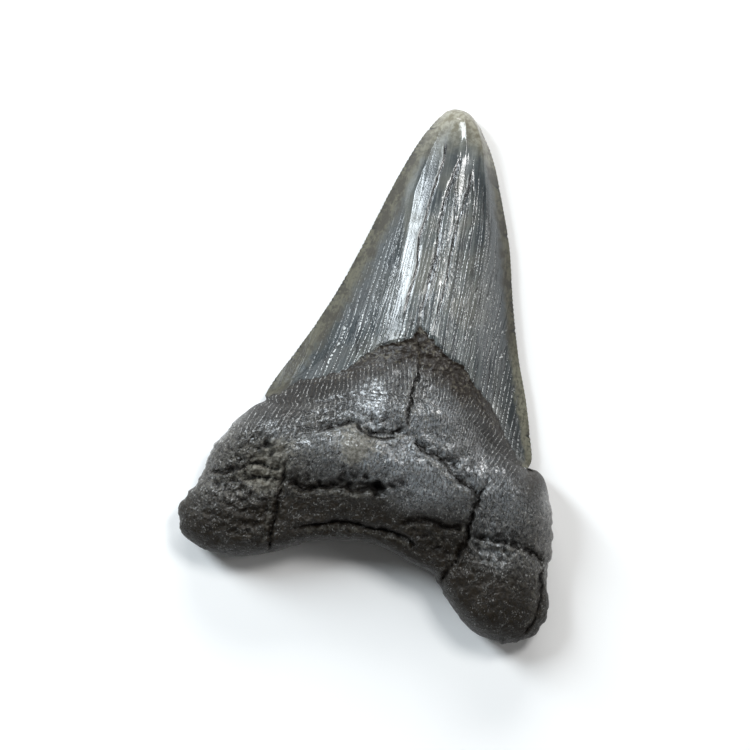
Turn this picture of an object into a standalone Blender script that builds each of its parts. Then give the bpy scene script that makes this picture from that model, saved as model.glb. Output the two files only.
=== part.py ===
"""A megalodon tooth, as one fossil solid lying on its flat labial face.

Frame, in metres: +Y runs from the root to the crown's tip, +Z out of the domed lingual face, and +X
across the tooth, with both shoulders of the crown level. Z = 0 is the surface that the tooth rests on, and
the origin is under the middle of the tooth's box. Sizes and places in this script are in millimetres.

The lingual and the labial face are two sheets over one outline. They meet at the rim: the cutting edges
of the crown and the rounded edge of the root.
"""

import math

import bmesh
import bpy
import numpy as np

MM = 0.001

# Driving dimensions
TIP_RIM_HEIGHT = 1.9  # of the cutting edge above the table, at the tip
CROWN_RIM_HEIGHT = 2.2  # the same at the crown's base
ROOT_RIM_HEIGHT = 4.8  # of the root's outermost line above the table
ROOT_EDGE_RADIUS = 4.6  # how far in from the outline the root's sides are rounded
ARCH_EDGE_RADIUS = 1.2  # the same in the middle of the arch between the lobes
SHOULDER_EDGE_RADIUS = 3.4  # the same beside the crown's shoulders
TIP_EDGE_RADIUS = 2.2  # how far down from the tip the crown reaches its full thickness
CROWN_LENGTH = 62.0  # from the shoulders to the tip, along the middle
RIDGE_SLOPE = 0.10  # of the crown's back just left of its ridge
FACET_SLOPE = 0.44  # of the plain facets on both sides of the crown's ridge
FACET_START = 3.5  # how far left of the ridge the left facet starts, where the crown is wide
RIGHT_CURVE = 4.0  # how far right of the ridge the back has curved down to the facet's slope
FLANK_START = 5.8  # how far from the ridge the steeper flanks start
ROOT_RISE = 7.0  # how far in from the outline the crown's flanks pass smoothly into the swollen root
BAND_DEPTH = 0.4  # of the bare band under the enamel's rim
ROOT_LUMPINESS = 0.5  # height of the root's own small swellings
EDGE_DROP = 0.5  # how far a block of the root is rounded down to a crack, as a share of the crack's depth
EDGE_WIDTH = 1.5  # how wide that rounding is

# The outline, as four sides. The patch's corners are the two lobes and the two sides of the blunt tip.
LEFT_ROOT = [
    (-24.6, -37.4), (-28.6, -35.6), (-30.1, -32.0), (-28.6, -28.0), (-27.7, -25.6),
    (-27.3, -21.5), (-25.5, -17.6), (-22.9, -13.9), (-21.2, -12.4), (-21.5, -11.7),
]
LEFT_CROWN = [
    (-21.5, -11.7), (-20.8, -9.1), (-18.9, -4.4), (-16.6, 1.6), (-14.3, 9.0), (-12.5, 16.6),
    (-10.7, 25.0), (-8.8, 32.1), (-7.1, 36.3), (-5.5, 38.8),
]
RIGHT_ROOT = [
    (24.4, -39.6), (28.2, -37.9), (29.9, -34.8), (29.9, -31.9), (28.7, -28.3), (28.3, -24.0),
    (27.5, -19.9), (26.3, -17.0), (24.4, -13.4), (22.8, -12.1), (21.3, -12.2),
]
RIGHT_CROWN = [
    (21.3, -12.2), (21.5, -10.4), (20.3, -7.0), (18.2, -1.7), (15.3, 4.6), (12.3, 12.6),
    (9.7, 20.3), (6.9, 26.6), (3.6, 33.2), (0.3, 37.6),
]
ROOT_ARCH = [
    (-24.6, -37.4), (-20.0, -37.3), (-16.1, -36.0), (-12.8, -34.3), (-8.8, -31.8), (-4.3, -30.5),
    (0.0, -29.7), (4.0, -30.1), (7.3, -31.0), (10.8, -31.7), (12.7, -33.3), (15.5, -36.1),
    (19.6, -38.9), (24.4, -39.6),
]
TIP_ARC = [(-5.5, 38.8), (-4.1, 39.5), (-1.9, 39.3), (0.3, 37.6)]
SHOULDER = 0.36  # the shoulders' place along the patch, from the root's arch at 0 to the tip at 1

# Heights along the middle of each face, as (y, z)
LINGUAL_SPINE = [
    (41.0, 3.9), (36.0, 5.0), (30.0, 6.3), (20.0, 8.7), (10.0, 11.3), (2.0, 13.0), (-6.0, 13.4),
    (-14.0, 12.4), (-22.0, 11.2), (-30.0, 10.4), (-41.0, 9.6),
]
LABIAL_SPINE = [
    (41.0, 1.5), (34.0, 0.6), (27.0, 0.0), (16.0, -0.1), (8.0, 0.3), (0.0, 0.9), (-9.0, 1.4),
    (-18.0, 1.3), (-27.0, 1.0), (-41.0, 0.9),
]

# Swellings and hollows, as (x, y), (half length, half width), turn in degrees, height
LINGUAL_LUMPS = [
    ((0.5, -18.0), (18.5, 6.6), 3, 3.5),  # the boss in the middle of the root
    ((-7.0, -15.8), (6.0, 4.0), 20, 1.0),
    ((7.5, -18.5), (8.0, 4.6), -24, 0.9),
    ((-3.5, -7.0), (12.0, 3.6), 8, 0.8),  # the ring of root under the bare band
    ((0.0, -10.5), (6.5, 5.0), 0, 1.3),
    ((4.8, -8.2), (2.6, 3.4), -20, 0.6),
    ((0.0, -17.3), (2.8, 2.4), 10, 0.8),
    ((4.6, -16.2), (2.6, 2.2), 0, 0.5),
    ((9.0, -8.5), (8.0, 4.0), -30, 0.6),
    ((21.5, -32.0), (6.5, 8.5), 0, 1.8),  # the right lobe
    ((20.5, -19.0), (5.5, 6.0), 0, 1.2),
    ((-21.5, -30.5), (7.5, 6.0), 15, 1.0),  # the left lobe
    ((-20.5, -18.0), (6.0, 6.5), 40, 0.6),
]
LABIAL_LUMPS = [
    ((-21.5, -30.5), (7.0, 6.0), 20, -1.5),
    ((21.5, -32.0), (6.5, 8.0), 0, -1.6),
    ((-2.0, 20.0), (5.0, 11.0), 0, -0.4),
]

# Breaks in the lingual face of the root: a route, the width and depth of the gap, the height of the ledge
# on the left of the route (on its right if negative), and how far that ledge reaches
BREAKS = {
    "upper_ledge": ([(-13.6, -15.8), (-9.8, -13.4), (-7.2, -12.2), (-4.2, -13.3), (-1.0, -13.0),
                     (1.8, -12.2)], 0.9, 1.3, -0.9, 3.5),
    "chip": ([(-5.2, -12.2), (-2.2, -12.2), (0.9, -11.0)], 1.4, 0.7, 0.0, 1.0),
    "upright_crack": ([(-0.6, 2.9), (0.5, -0.4), (0.8, -4.0), (0.8, -7.6), (1.8, -12.2)],
                      0.55, 0.9, 0.25, 2.5),
    "slanting_ledge": ([(1.8, -12.2), (5.4, -13.4), (8.9, -14.9), (11.8, -16.9), (14.6, -18.5)],
                       1.3, 1.6, -0.9, 3.5),
    "right_gap": ([(15.6, -15.2), (14.6, -18.5), (14.5, -23.0), (14.5, -26.8), (13.2, -30.6), (12.4, -33.6)],
                  1.1, 2.0, 0.3, 3.0),
    "right_step": ([(14.5, -24.4), (18.4, -24.2), (22.0, -24.0), (25.0, -24.5), (27.0, -26.3)],
                   1.1, 1.9, 0.3, 3.0),
    "right_seam": ([(27.0, -26.3), (28.0, -29.8), (28.4, -34.0), (27.0, -37.4)], 0.9, 0.8, 0.4, 1.5),
    "middle_crack": ([(-15.1, -23.6), (-12.0, -24.1), (-8.6, -22.8), (-4.4, -22.1), (-1.6, -20.2)],
                     1.3, 1.7, 0.0, 2.0),
    "left_gap": ([(-15.5, -20.6), (-15.2, -25.0), (-15.0, -29.0), (-14.8, -33.0), (-14.0, -35.2)],
                 1.0, 1.6, 0.4, 2.5),
    "left_step": ([(-27.7, -26.0), (-23.4, -24.2), (-20.0, -22.0), (-17.4, -22.2), (-15.3, -21.9)],
                  0.9, 1.2, 0.5, 2.5),
    "left_branch": ([(-21.7, -25.9), (-19.6, -24.2), (-15.3, -23.4)], 0.9, 0.8, 0.0, 1.0),
    "low_ledge": ([(-12.0, -30.3), (-8.6, -28.7), (-4.4, -27.2), (0.6, -27.0), (4.8, -27.0), (8.6, -29.2)],
                  0.9, 1.5, 0.9, 3.0),
    "low_crack": ([(3.6, -26.2), (6.4, -24.3), (10.2, -24.0), (14.2, -23.0)], 0.9, 1.5, -0.5, 2.5),
}

# Pits in the root, as (x, y), radius, depth
PITS = [
    ((-0.8, -20.2), 0.9, 1.2), ((-0.2, -21.3), 0.7, 1.0), ((-3.0, -19.6), 0.6, 0.5),
    ((1.8, -19.4), 0.7, 0.5), ((4.3, -20.4), 0.7, 0.5), ((0.3, -17.8), 0.6, 0.4),
    ((-19.2, -18.8), 0.8, 0.7), ((-19.6, -20.4), 0.7, 0.6), ((-17.8, -19.8), 0.7, 0.4),
]

# The enamel's lower rim, and where the bare band under it gives way to the root
ENAMEL_RIM = [
    (-21.6, -12.0), (-18.9, -10.3), (-16.8, -8.0), (-11.8, -5.4), (-9.0, -2.6), (-5.7, 0.6), (-2.6, 2.4),
    (-0.8, 4.8), (2.0, 3.0), (7.2, 0.5), (10.9, -2.5), (14.3, -5.5), (17.5, -9.0), (21.4, -12.2),
]
BAND_FOOT = [
    (-21.4, -12.6), (-15.0, -11.4), (-10.8, -9.3), (-8.6, -5.2), (-4.5, -2.6), (-0.4, -1.5), (5.4, -3.1),
    (10.0, -5.2), (13.4, -7.0), (17.2, -10.4), (20.8, -12.6),
]

# Long cracks down the enamel: a route, then the width, depth and step of each, as in BREAKS
CROWN_CRACKS = {
    "middle": ([(-1.5, 32.8), (-2.1, 25.2), (-1.4, 16.0), (-1.3, 9.0), (-0.8, 4.8)], 0.7, 0.30, 0.15, 1.5),
    "left": ([(-4.3, 34.0), (-4.1, 27.0), (-4.5, 19.0), (-3.8, 12.0), (-3.9, 4.0)], 0.7, 0.25, -0.15, 1.5),
    "right": ([(0.8, 30.6), (0.8, 22.0), (1.1, 14.0), (1.3, 5.0)], 0.7, 0.25, 0.15, 1.5),
}

# The labial face of the root and its few long cracks
LABIAL_BREAKS = {
    "middle": ([(-3.0, -6.0), (-1.5, -15.0), (-3.5, -22.0), (-2.0, -28.5)], 0.7, 0.8, 0.2, 3.0),
    "left": ([(-13.0, -13.0), (-14.0, -20.0), (-12.5, -27.0), (-14.0, -34.0)], 0.8, 0.9, -0.2, 3.0),
    "right": ([(12.0, -12.0), (13.0, -19.0), (11.5, -26.0), (12.4, -33.0)], 0.9, 1.0, 0.3, 3.0),
    "left_step": ([(-27.6, -25.8), (-21.0, -24.0), (-13.4, -24.4)], 0.8, 0.8, 0.3, 2.5),
    "right_step": ([(12.4, -24.2), (20.0, -25.4), (28.2, -24.6)], 0.8, 0.8, -0.3, 2.5),
}
LABIAL_RIM = [
    (-21.6, -12.0), (-16.0, -11.5), (-10.0, -8.0), (-4.0, -2.6), (-0.5, -1.4), (3.0, -2.8), (9.0, -8.0),
    (15.5, -11.5), (21.4, -12.2),
]
LABIAL_STEP = 0.35  # of the enamel above the root on the labial face

# Mesh
SHEET_STEPS = (190, 230)  # across and along each sheet, before it is thinned
RIM_CROWDING = 0.75  # how much closer together the sheet's lines are at the rim
FACES_KEPT = 9300
ROUGHNESS_SEED = 7

COLOUR = (0.050, 0.052, 0.055, 1.0)
GLOSS_ROUGHNESS = 0.42


def smoothstep(low, high, value):
    """0 below low, 1 above high, and smooth between them."""
    t = np.clip((value - low) / (high - low), 0.0, 1.0)
    return t * t * (3.0 - 2.0 * t)


def smooth_route(points, per_span=12):
    """A Catmull-Rom curve through the points, as an array of points."""
    p = np.array(points, float)
    p = np.vstack([2 * p[0] - p[1], p, 2 * p[-1] - p[-2]])
    t = np.linspace(0.0, 1.0, per_span, endpoint=False)[:, None]
    spans = []
    for a, b, c, d in zip(p[:-3], p[1:-2], p[2:-1], p[3:]):
        spans.append(
            0.5 * (2 * b + (c - a) * t + (2 * a - 5 * b + 4 * c - d) * t**2 + (3 * b - a - 3 * c + d) * t**3)
        )
    return np.vstack(spans + [p[-2:-1]])


def along(points, shares):
    """The places at the given shares of the length of a smooth route."""
    route = smooth_route(points)
    length = np.concatenate([[0.0], np.cumsum(np.linalg.norm(np.diff(route, axis=0), axis=1))])
    at = np.asarray(shares) * length[-1]
    return np.stack([np.interp(at, length, route[:, 0]), np.interp(at, length, route[:, 1])], axis=-1)


def side(root, crown, v):
    """One side of the outline, from a lobe at v = 0 past the shoulder to the tip at v = 1."""
    on_root = along(root, np.clip(v / SHOULDER, 0.0, 1.0))
    on_crown = along(crown, np.clip((v - SHOULDER) / (1.0 - SHOULDER), 0.0, 1.0))
    return np.where((v < SHOULDER)[..., None], on_root, on_crown)


def patch(u, v):
    """The plan place of a sheet's point, from left (u = 0) to right and from the arch (v = 0) to the tip."""
    bottom, top = along(ROOT_ARCH, u), along(TIP_ARC, u)
    left, right = side(LEFT_ROOT, LEFT_CROWN, v), side(RIGHT_ROOT, RIGHT_CROWN, v)
    a, b = np.array(ROOT_ARCH[0]), np.array(ROOT_ARCH[-1])
    c, d = np.array(TIP_ARC[0]), np.array(TIP_ARC[-1])
    u, v = u[..., None], v[..., None]
    sides = (1 - v) * bottom + v * top + (1 - u) * left + u * right
    return sides - ((1 - u) * (1 - v) * a + u * (1 - v) * b + (1 - u) * v * c + u * v * d)


def outline():
    """The whole outline as one closed array of points."""
    left = np.vstack([smooth_route(LEFT_ROOT), smooth_route(LEFT_CROWN)])
    right = np.vstack([smooth_route(RIGHT_ROOT), smooth_route(RIGHT_CROWN)])
    return np.vstack([left, smooth_route(TIP_ARC), right[::-1], smooth_route(ROOT_ARCH)[::-1]])


def near_route(xy, route):
    """For each place its distance to a route, the side of it (+1 left) and its share of the way along."""
    best = np.full(len(xy), np.inf)
    hand = np.ones(len(xy))
    share = np.zeros(len(xy))
    for i, (a, b) in enumerate(zip(route[:-1], route[1:])):
        run = b - a
        size = max(float(run @ run), 1e-9)
        off = xy - a
        t = np.clip(off @ run / size, 0.0, 1.0)
        gap = np.linalg.norm(off - t[:, None] * run, axis=1)
        closer = gap < best
        best[closer] = gap[closer]
        cross = run[0] * off[:, 1] - run[1] * off[:, 0]
        hand[closer] = np.sign(cross[closer])
        share[closer] = ((i + t) / (len(route) - 1))[closer]
    return best, hand, share


def above_route(xy, points):
    """How far each place is above a route that runs from left to right."""
    gap, hand, _ = near_route(xy, smooth_route(points))
    return gap * hand


def breaks(xy, table):
    """The height that a table of cracks and ledges adds to a face."""
    height = np.zeros(len(xy))
    for points, width, depth, ledge, reach in table.values():
        gap, hand, share = near_route(xy, smooth_route(points, 6))
        fade = smoothstep(0.0, 0.12, share) * smoothstep(1.0, 0.88, share)
        crack = np.exp(-((2.0 * gap / width) ** 2)) + EDGE_DROP * np.exp(-((gap / EDGE_WIDTH) ** 2))
        height -= depth * crack * (0.3 + 0.7 * fade)
        raised = smoothstep(-0.35, 0.35, gap * hand * np.sign(ledge)) * np.exp(-gap / reach)
        height += abs(ledge) * raised * fade
    return height


def lumps(xy, table):
    """The height that a table of swellings adds to a face."""
    height = np.zeros(len(xy))
    for centre, (long, wide), turn, rise in table:
        c, s = math.cos(math.radians(turn)), math.sin(math.radians(turn))
        off = xy - np.array(centre)
        a = (off[:, 0] * c + off[:, 1] * s) / long
        b = (off[:, 1] * c - off[:, 0] * s) / wide
        height += rise * np.exp(-((a * a + b * b) ** 1.3))
    return height


def pits(xy):
    """The depth of the root's pits."""
    depth = np.zeros(len(xy))
    for centre, radius, sunk in PITS:
        depth += sunk * np.exp(-(np.linalg.norm(xy - np.array(centre), axis=1) / radius) ** 2)
    return depth


def spine(table, y):
    """The height along the middle of a face."""
    route = smooth_route(table)[::-1]
    return np.interp(y, route[:, 0], route[:, 1])


def roughness(xy, size, seed):
    """Smooth bumps between -1 and 1, of about the given size."""
    lattice = np.random.default_rng(seed).uniform(-1.0, 1.0, (64, 64))
    p = xy / size + 32.0
    i = np.floor(p).astype(int)
    f = p - i
    f = f * f * (3.0 - 2.0 * f)
    x0, y0 = i[:, 0] % 64, i[:, 1] % 64
    x1, y1 = (x0 + 1) % 64, (y0 + 1) % 64
    low = lattice[x0, y0] * (1 - f[:, 0]) + lattice[x1, y0] * f[:, 0]
    high = lattice[x0, y1] * (1 - f[:, 0]) + lattice[x1, y1] * f[:, 0]
    return low * (1 - f[:, 1]) + high * f[:, 1]


def rim_height(v):
    """The height of the line where the two faces meet."""
    crown = np.interp(v, [SHOULDER, 1.0], [CROWN_RIM_HEIGHT, TIP_RIM_HEIGHT])
    rootness = smoothstep(SHOULDER + 0.012, SHOULDER - 0.05, v)
    return crown + (ROOT_RIM_HEIGHT - crown) * rootness


def width(v):
    """The crown's or the root's width along the patch, from side to side."""
    rows = np.linspace(0.0, 1.0, 200)
    left, right = side(LEFT_ROOT, LEFT_CROWN, rows), side(RIGHT_ROOT, RIGHT_CROWN, rows)
    return np.interp(v, rows, np.linalg.norm(right - left, axis=1))


def ridge_drop(off, half):
    """How far the crown's back falls beside its ridge: to a plain facet on the left, curving on the right."""
    start = np.minimum(0.31 * half, FACET_START)
    left, right = np.maximum(-off, 0.0), np.maximum(off, 0.0)
    t = np.clip(left - start + 0.5, 0.0, 1.0)
    on_facet = t**3 - t**4 / 2 + np.maximum(left - start - 0.5, 0.0)
    curved = np.minimum(right, RIGHT_CURVE) ** 2 / (2 * RIGHT_CURVE) + np.maximum(right - RIGHT_CURVE, 0.0)
    return RIDGE_SLOPE * left + (FACET_SLOPE - RIDGE_SLOPE) * on_facet + FACET_SLOPE * curved


def dome_shape(u, v, drop):
    """The crown's cross-section: 0 at the cutting edges and 1 on the ridge, which is drop higher."""
    half = width(v) / 2
    off = (2.0 * u - 1.0) * half
    start = np.minimum(0.6 * half, FLANK_START)
    t = np.clip((np.abs(off) - start) / (half - start), 0.0, 1.0)
    flank = 0.35 * smoothstep(0.0, 1.0, t) + 0.65 * t**1.1
    steep = drop - ridge_drop(np.sign(off) * half, half)
    return 1.0 - (ridge_drop(off, half) + steep * flank) / drop


def edge_shapes(u, v, gap, drop):
    """How much of its full height each face has, from 0 at the rim to 1: the lingual and the labial share."""
    across = 1.0 - np.abs(2.0 * u - 1.0)
    plate = 1.0 - (1.0 - across) ** 4.0
    tip = np.sqrt(1.0 - (1.0 - np.clip((1.0 - v) * CROWN_LENGTH / TIP_EDGE_RADIUS, 0.0, 1.0)) ** 2)
    radius = np.interp(v, [SHOULDER - 0.12, SHOULDER], [ROOT_EDGE_RADIUS, SHOULDER_EDGE_RADIUS])
    radius += (ARCH_EDGE_RADIUS - radius) * smoothstep(0.15, 0.0, v) * np.sin(math.pi * u)
    rounded = np.sqrt(1.0 - (1.0 - np.clip(gap / radius, 0.0, 1.0)) ** 2)
    inside = smoothstep(0.0, ROOT_RISE, gap)
    rootness = smoothstep(SHOULDER + 0.012 + 0.13 * inside, SHOULDER - 0.03 - 0.06 * inside, v)
    crown_shapes = dome_shape(u, v, drop) * tip, plate * tip
    return tuple(shape + (rounded - shape) * rootness for shape in crown_shapes)


def lingual_face(u, v, xy, gap):
    """The height of the domed face that lies uppermost."""
    rim = rim_height(v)
    x, y = xy[:, 0], xy[:, 1]
    ridge = spine(LINGUAL_SPINE, y)
    share, _ = edge_shapes(u, v, gap, ridge - rim)
    full = ridge - 2.2 * smoothstep(0.0, -20.0, y) * (x / 27.0) ** 2
    full += lumps(xy, LINGUAL_LUMPS)
    on_root = smoothstep(0.3, -0.5, above_route(xy, BAND_FOOT))
    full += on_root * ROOT_LUMPINESS * roughness(xy, 5.5, ROUGHNESS_SEED)
    full += on_root * ROOT_LUMPINESS * 0.5 * roughness(xy, 2.6, ROUGHNESS_SEED + 1)
    under_enamel = smoothstep(0.35, -0.35, above_route(xy, ENAMEL_RIM))
    full -= BAND_DEPTH * under_enamel * (1.0 - on_root)
    full += breaks(xy, BREAKS) + breaks(xy, CROWN_CRACKS) - pits(xy)
    return rim + (full - rim) * share


def labial_face(u, v, xy, gap):
    """The height of the flat face that the tooth lies on."""
    rim = rim_height(v)
    _, share = edge_shapes(u, v, gap, 1.0)
    full = spine(LABIAL_SPINE, xy[:, 1]) + lumps(xy, LABIAL_LUMPS)
    on_root = smoothstep(0.3, -0.3, above_route(xy, LABIAL_RIM))
    full += on_root * (LABIAL_STEP + 0.6 * ROOT_LUMPINESS * roughness(xy, 5.5, ROUGHNESS_SEED + 2))
    full -= breaks(xy, LABIAL_BREAKS)
    return rim + (full - rim) * share


def crowd(t):
    """Shares from 0 to 1, closer together near both ends."""
    return t - RIM_CROWDING * np.sin(2 * math.pi * t) / (2 * math.pi)


def sheet(face, flip):
    """One face of the tooth as a grid, with its rim on the outline."""
    across, up = SHEET_STEPS
    bm = bmesh.new()
    bmesh.ops.create_grid(bm, x_segments=across, y_segments=up, size=0.5)
    if flip:
        bmesh.ops.reverse_faces(bm, faces=bm.faces)
    mesh = bpy.data.meshes.new("sheet")
    bm.to_mesh(mesh)
    bm.free()
    co = np.empty(len(mesh.vertices) * 3, np.float32)
    mesh.vertices.foreach_get("co", co)
    uv = np.round(co.reshape(-1, 3)[:, :2].astype(float) + 0.5, 5)
    u, v = crowd(uv[:, 0]), crowd(uv[:, 1])
    xy = patch(u, v)
    rim = outline()
    gap, _, _ = near_route(xy, np.vstack([rim, rim[:1]]))
    on_rim = ((uv == 0.0) | (uv == 1.0)).any(axis=1)
    gap[on_rim] = 0.0
    z = face(u, v, xy, gap)
    mesh.vertices.foreach_set("co", (np.column_stack([xy, z]) * MM).astype(np.float32).ravel())
    mesh.update()
    return mesh


def closed_tooth(collection):
    """Both sheets joined at the rim, and thinned where the surface is plain."""
    bm = bmesh.new()
    for face, flip in ((lingual_face, False), (labial_face, True)):
        mesh = sheet(face, flip)
        bm.from_mesh(mesh)
        bpy.data.meshes.remove(mesh)
    bmesh.ops.remove_doubles(bm, verts=bm.verts, dist=0.001 * MM)
    mesh = bpy.data.meshes.new("tooth")
    bm.to_mesh(mesh)
    bm.free()
    tooth = bpy.data.objects.new("tooth", mesh)
    collection.objects.link(tooth)
    thin = tooth.modifiers.new("Thin", "DECIMATE")
    triangles = 4 * SHEET_STEPS[0] * SHEET_STEPS[1]
    thin.ratio = FACES_KEPT / triangles
    return tooth


def applied(tooth):
    """The object's mesh as its modifiers leave it."""
    graph = bpy.context.evaluated_depsgraph_get()
    mesh = bpy.data.meshes.new_from_object(tooth.evaluated_get(graph))
    tooth.modifiers.clear()
    tooth.data = mesh
    return tooth


def flatten_rests(tooth):
    """Cuts what lies below the table off flat, in three places of the labial face, and centres the tooth."""
    bm = bmesh.new()
    bm.from_mesh(tooth.data)
    cut = bmesh.ops.bisect_plane(
        bm,
        geom=bm.verts[:] + bm.edges[:] + bm.faces[:],
        dist=1e-7,
        plane_co=(0, 0, 0),
        plane_no=(0, 0, -1),
        clear_outer=True,
    )
    edges = [e for e in cut["geom_cut"] if isinstance(e, bmesh.types.BMEdge)]
    bmesh.ops.holes_fill(bm, edges=edges, sides=0)
    bmesh.ops.triangulate(bm, faces=bm.faces)
    co = np.array([v.co for v in bm.verts])
    middle = (co.min(axis=0) + co.max(axis=0)) / 2
    bmesh.ops.translate(bm, verts=bm.verts, vec=(-middle[0], -middle[1], 0.0))
    bmesh.ops.recalc_face_normals(bm, faces=bm.faces)
    bm.to_mesh(tooth.data)
    bm.free()


def fossil_material():
    """Grey-black fossil with a soft shine."""
    material = bpy.data.materials.new("fossil")
    material.use_nodes = True
    shader = material.node_tree.nodes["Principled BSDF"]
    shader.inputs["Base Color"].default_value = COLOUR
    shader.inputs["Roughness"].default_value = GLOSS_ROUGHNESS
    shader.inputs["Metallic"].default_value = 0.0
    material.diffuse_color = COLOUR
    return material


def build():
    for old in list(bpy.data.objects):
        bpy.data.objects.remove(old)
    collection = bpy.data.collections.new("megalodon_tooth")
    bpy.context.scene.collection.children.link(collection)
    tooth = applied(closed_tooth(collection))
    flatten_rests(tooth)
    tooth.data.materials.clear()
    tooth.data.materials.append(fossil_material())
    tooth.data.shade_smooth()
    tooth.data.set_sharp_from_angle(angle=math.radians(40))


build()
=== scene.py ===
"""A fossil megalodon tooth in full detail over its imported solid, on a pale floor in soft studio light.

The tooth lies on its flat labial face, with its tip towards +Y, and the camera looks down on its domed
lingual face. Sizes and places are in millimetres until the mesh is made. The forms are those of the part's
solid, with the cracks, wrinkles, pits, worn serrations and bone grain that its surface carries.
"""

import math
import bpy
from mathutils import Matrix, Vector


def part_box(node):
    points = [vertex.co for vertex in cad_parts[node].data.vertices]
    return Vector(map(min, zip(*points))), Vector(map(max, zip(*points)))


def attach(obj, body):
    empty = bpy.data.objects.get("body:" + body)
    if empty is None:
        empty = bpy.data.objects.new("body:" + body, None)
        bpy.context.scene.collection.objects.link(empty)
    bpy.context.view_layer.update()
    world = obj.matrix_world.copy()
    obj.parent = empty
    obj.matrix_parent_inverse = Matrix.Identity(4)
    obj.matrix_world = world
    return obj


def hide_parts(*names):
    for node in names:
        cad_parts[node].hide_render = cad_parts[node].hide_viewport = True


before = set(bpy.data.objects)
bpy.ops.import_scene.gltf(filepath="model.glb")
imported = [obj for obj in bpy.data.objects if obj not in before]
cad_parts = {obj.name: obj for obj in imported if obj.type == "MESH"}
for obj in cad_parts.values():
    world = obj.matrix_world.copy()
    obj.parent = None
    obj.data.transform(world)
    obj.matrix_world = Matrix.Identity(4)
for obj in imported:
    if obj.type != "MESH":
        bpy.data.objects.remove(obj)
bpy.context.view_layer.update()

from types import SimpleNamespace

import bmesh
import bpy
import numpy as np
from mathutils import Vector

MM = 0.001

# --- The form, as in the part's solid ------------------------------------------------------------------

TIP_RIM_HEIGHT = 1.9
CROWN_RIM_HEIGHT = 2.2
ROOT_RIM_HEIGHT = 4.8
ROOT_EDGE_RADIUS = 4.6
ARCH_EDGE_RADIUS = 1.2
SHOULDER_EDGE_RADIUS = 3.4
TIP_EDGE_RADIUS = 2.2
FACET_SLOPE = 0.44
FACET_START = 3.5
RIDGE_SLOPE = 0.10  # between the ridge and the facet
RIGHT_CURVE = 4.0  # how far the even curve on the ridge's right goes before it is straight
FLANK_START = 5.8  # how far from the ridge the back starts to fall to the rim
BAND_DEPTH = 0.4
ROOT_RISE = 7.0
ROOT_SIDE_FALL = 2.2  # of the root's back, at ROOT_HALF_WIDTH from the middle
ROOT_HALF_WIDTH = 27.0
CROWN_LENGTH = 62.0
SHOULDER = 0.36  # share of the way from the arch to the tip where the root ends

LEFT_ROOT = [
    (-24.6, -37.4), (-28.6, -35.6), (-30.1, -32.0), (-28.6, -28.0), (-27.7, -25.6),
    (-27.3, -21.5), (-25.5, -17.6), (-22.9, -13.9), (-21.2, -12.4), (-21.5, -11.7),
]
LEFT_CROWN = [
    (-21.5, -11.7), (-20.8, -9.1), (-18.9, -4.4), (-16.6, 1.6), (-14.3, 9.0), (-12.5, 16.6),
    (-10.7, 25.0), (-8.8, 32.1), (-7.1, 36.3), (-5.5, 38.8),
]
RIGHT_ROOT = [
    (24.4, -39.6), (28.2, -37.9), (29.9, -34.8), (29.9, -31.9), (28.7, -28.3), (28.3, -24.0),
    (27.5, -19.9), (26.3, -17.0), (24.4, -13.4), (22.8, -12.1), (21.3, -12.2),
]
RIGHT_CROWN = [
    (21.3, -12.2), (21.5, -10.4), (20.3, -7.0), (18.2, -1.7), (15.3, 4.6), (12.3, 12.6),
    (9.7, 20.3), (6.9, 26.6), (3.6, 33.2), (0.3, 37.6),
]
ROOT_ARCH = [
    (-24.6, -37.4), (-20.0, -37.3), (-16.1, -36.0), (-12.8, -34.3), (-8.8, -31.8), (-4.3, -30.5),
    (0.0, -29.7), (4.0, -30.1), (7.3, -31.0), (10.8, -31.7), (12.7, -33.3), (15.5, -36.1),
    (19.6, -38.9), (24.4, -39.6),
]
TIP_ARC = [(-5.5, 38.8), (-4.1, 39.5), (-1.9, 39.3), (0.3, 37.6)]

LINGUAL_SPINE = [
    (41.0, 3.9), (36.0, 5.0), (30.0, 6.3), (20.0, 8.7), (10.0, 11.3), (2.0, 13.0), (-6.0, 13.4),
    (-14.0, 12.4), (-22.0, 11.2), (-30.0, 10.4), (-41.0, 9.6),
]
LABIAL_SPINE = [
    (41.0, 1.5), (34.0, 0.6), (27.0, 0.0), (16.0, -0.1), (8.0, 0.3), (0.0, 0.9), (-9.0, 1.4),
    (-18.0, 1.3), (-27.0, 1.0), (-41.0, 0.9),
]

# Swellings: (x, y), (half length, half width), turn in degrees, height
LINGUAL_LUMPS = [
    ((0.5, -18.0), (18.5, 6.6), 3, 3.5),
    ((-7.0, -15.8), (6.0, 4.0), 20, 1.0),
    ((7.5, -18.5), (8.0, 4.6), -24, 0.9),
    ((-3.5, -7.0), (12.0, 3.6), 8, 0.8),
    ((0.0, -10.5), (6.5, 5.0), 0, 1.3),
    ((4.8, -8.2), (2.6, 3.4), -20, 0.6),
    ((0.0, -17.3), (2.8, 2.4), 10, 0.8),
    ((4.6, -16.2), (2.6, 2.2), 0, 0.5),
    ((9.0, -8.5), (8.0, 4.0), -30, 0.6),
    ((21.5, -32.0), (6.5, 8.5), 0, 1.8),
    ((20.5, -19.0), (5.5, 6.0), 0, 1.2),
    ((-21.5, -30.5), (7.5, 6.0), 15, 1.0),
    ((-20.5, -18.0), (6.0, 6.5), 40, 0.6),
]
LABIAL_LUMPS = [
    ((-21.5, -30.5), (7.0, 6.0), 20, -1.5),
    ((21.5, -32.0), (6.5, 8.0), 0, -1.6),
    ((-2.0, 20.0), (5.0, 11.0), 0, -0.4),
]

# The sharp end of the crown's ridge, from the tip down
TIP_RIDGE = [(-3.2, 39.6), (-2.4, 38.0), (-1.7, 36.0), (-1.0, 33.5), (-0.8, 31.0)]
TIP_RIDGE_HEIGHT = 0.45

# --- The surface's own features ------------------------------------------------------------------------

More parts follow.
